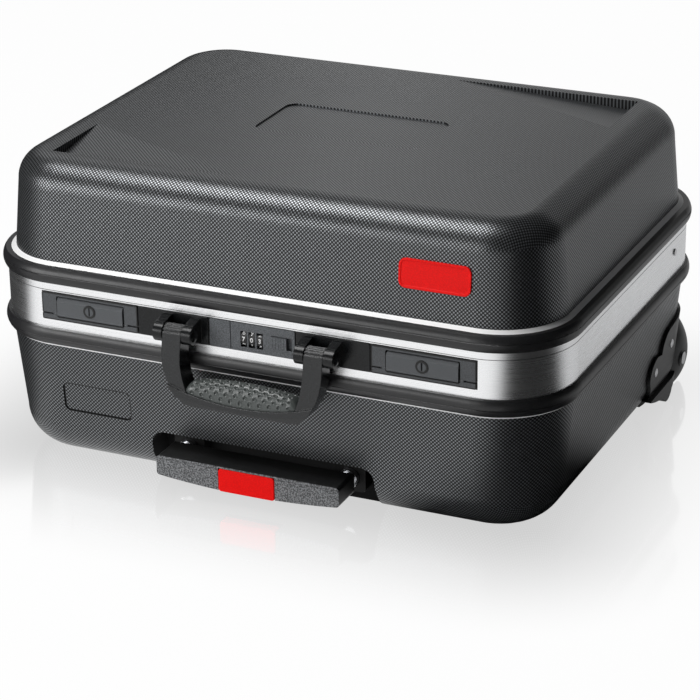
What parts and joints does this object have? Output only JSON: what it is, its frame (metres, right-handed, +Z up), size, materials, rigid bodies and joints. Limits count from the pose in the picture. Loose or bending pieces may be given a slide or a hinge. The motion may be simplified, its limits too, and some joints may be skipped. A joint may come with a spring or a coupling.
{
  "type": "wheeled hard tool case",
  "caption": "Hard shell tool case with aluminium frames, tilting key latches, number lock, folding carry handle, telescopic pull handle and wheels.",
  "frame": {"origin": "centre of the flat underside of the base shell, on the floor", "axes": "+X along the width, to the right seen from the latch side; +Y from the latch side to the hinge side; +Z up"},
  "size_m": [0.508, 0.4262, 0.2605],
  "materials": {
    "shell": "moulded, fine raised-dot grain",
    "band": "satin anodised, brushed along its length",
    "bumper": "extruded, semi-gloss",
    "seal": "soft",
    "panel": "plain",
    "plate": "fine grain",
    "mount": "satin",
    "steel": "zinc plated",
    "hinge": "plated",
    "rivet": "bright",
    "housing": "satin",
    "tube": "anodised",
    "foot": "matt",
    "flap": "satin",
    "key": "satin, plated rim",
    "number_wheel": "white plain numbers",
    "slide": "ribbed",
    "handle": "satin",
    "pad": "soft, dimpled",
    "grip": "coarse grain",
    "button": "red",
    "hub": "plain",
    "tyre": "soft"
  },
  "bodies": {
    "case": {"base_shell": "shell", "base_frame": "band", "base_bumper": "bumper", "frame_seal": "seal", "floor_panel": "panel", "left_latch_plate": "plate", "right_latch_plate": "plate", "latch_pins": "steel", "left_handle_mount": "mount", "right_handle_mount": "mount", "handle_pins": "steel", "lock_plate": "plate", "lock_spindle": "steel", "base_hinge_leaves": "hinge", "hinge_pins": "steel", "left_wheel_housing": "housing", "right_wheel_housing": "housing", "wheel_bolts": "steel", "rivets": "rivet", "outer_tubes": "tube", "tube_collars": "housing", "tube_rear_bracket": "housing"},
    "lid": {"lid_shell": "shell", "lid_frame": "band", "lid_bumper": "bumper", "lid_hinge_leaves": "hinge", "latch_strikers": "hinge", "stand_feet": "foot"},
    "left_latch": {"left_latch_lever": "flap"},
    "right_latch": {"right_latch_lever": "flap"},
    "left_key": {"left_key_cylinder": "key"},
    "right_key": {"right_key_cylinder": "key"},
    "number_wheel_1": {"number_wheel_1": "number_wheel"},
    "number_wheel_2": {"number_wheel_2": "number_wheel"},
    "number_wheel_3": {"number_wheel_3": "number_wheel"},
    "slide": {"lock_slide": "slide"},
    "carry_handle": {"handle_frame": "handle", "handle_pad": "pad"},
    "middle_stage": {"middle_tubes": "tube"},
    "pull_handle": {"inner_tubes": "tube", "pull_grip": "grip"},
    "button": {"release_button": "button"},
    "left_wheel": {"left_wheel_hub": "hub", "left_wheel_tyre": "tyre"},
    "right_wheel": {"right_wheel_hub": "hub", "right_wheel_tyre": "tyre"}
  },
  "joints": [
    {"name": "lid_hinge", "type": "hinge", "parent": "case", "child": "lid", "pos_m": [0, 0.1994, 0.15675], "axis": [-1, 0, 0], "range_deg": [0, 95]},
    {"name": "left_latch_tilt", "type": "hinge", "parent": "case", "child": "left_latch", "pos_m": [-0.1463, -0.1966, 0.1369], "axis": [1, 0, 0], "range_deg": [0, 75]},
    {"name": "left_key_turn", "type": "hinge", "parent": "left_latch", "child": "left_key", "pos_m": [-0.1463, -0.196, 0.1437], "axis": [0, -1, 0], "range_deg": [0, 90]},
    {"name": "right_latch_tilt", "type": "hinge", "parent": "case", "child": "right_latch", "pos_m": [0.1463, -0.1966, 0.1369], "axis": [1, 0, 0], "range_deg": [0, 75]},
    {"name": "right_key_turn", "type": "hinge", "parent": "right_latch", "child": "right_key", "pos_m": [0.1463, -0.196, 0.1437], "axis": [0, -1, 0], "range_deg": [0, 90]},
    {"name": "number_wheel_1_spin", "type": "hinge", "parent": "case", "child": "number_wheel_1", "pos_m": [-0.0074, -0.1886, 0.1419], "axis": [1, 0, 0], "continuous": true},
    {"name": "number_wheel_2_spin", "type": "hinge", "parent": "case", "child": "number_wheel_2", "pos_m": [-0.0003, -0.1886, 0.1419], "axis": [1, 0, 0], "continuous": true},
    {"name": "number_wheel_3_spin", "type": "hinge", "parent": "case", "child": "number_wheel_3", "pos_m": [0.0068, -0.1886, 0.1419], "axis": [1, 0, 0], "continuous": true},
    {"name": "release_slide", "type": "slide", "parent": "case", "child": "slide", "axis": [1, 0, 0], "range_m": [0, 0.004], "stiffness_N_per_m": 150},
    {"name": "handle_swing", "type": "hinge", "parent": "case", "child": "carry_handle", "pos_m": [0, -0.209, 0.1433], "axis": [-1, 0, 0], "range_deg": [0, 95]},
    {"name": "lower_tube_slide", "type": "slide", "parent": "case", "child": "middle_stage", "axis": [0, -1, 0], "range_m": [0, 0.25]},
    {"name": "upper_tube_slide", "type": "slide", "parent": "middle_stage", "child": "pull_handle", "axis": [0, -1, 0], "range_m": [0, 0.25]},
    {"name": "button_press", "type": "slide", "parent": "pull_handle", "child": "button", "axis": [0, 1, 0], "range_m": [0, 0.004], "stiffness_N_per_m": 400},
    {"name": "left_wheel_spin", "type": "hinge", "parent": "case", "child": "left_wheel", "pos_m": [-0.223, 0.161, 0.0266], "axis": [1, 0, 0], "continuous": true},
    {"name": "right_wheel_spin", "type": "hinge", "parent": "case", "child": "right_wheel", "pos_m": [0.223, 0.161, 0.0266], "axis": [1, 0, 0], "continuous": true}
  ]
}
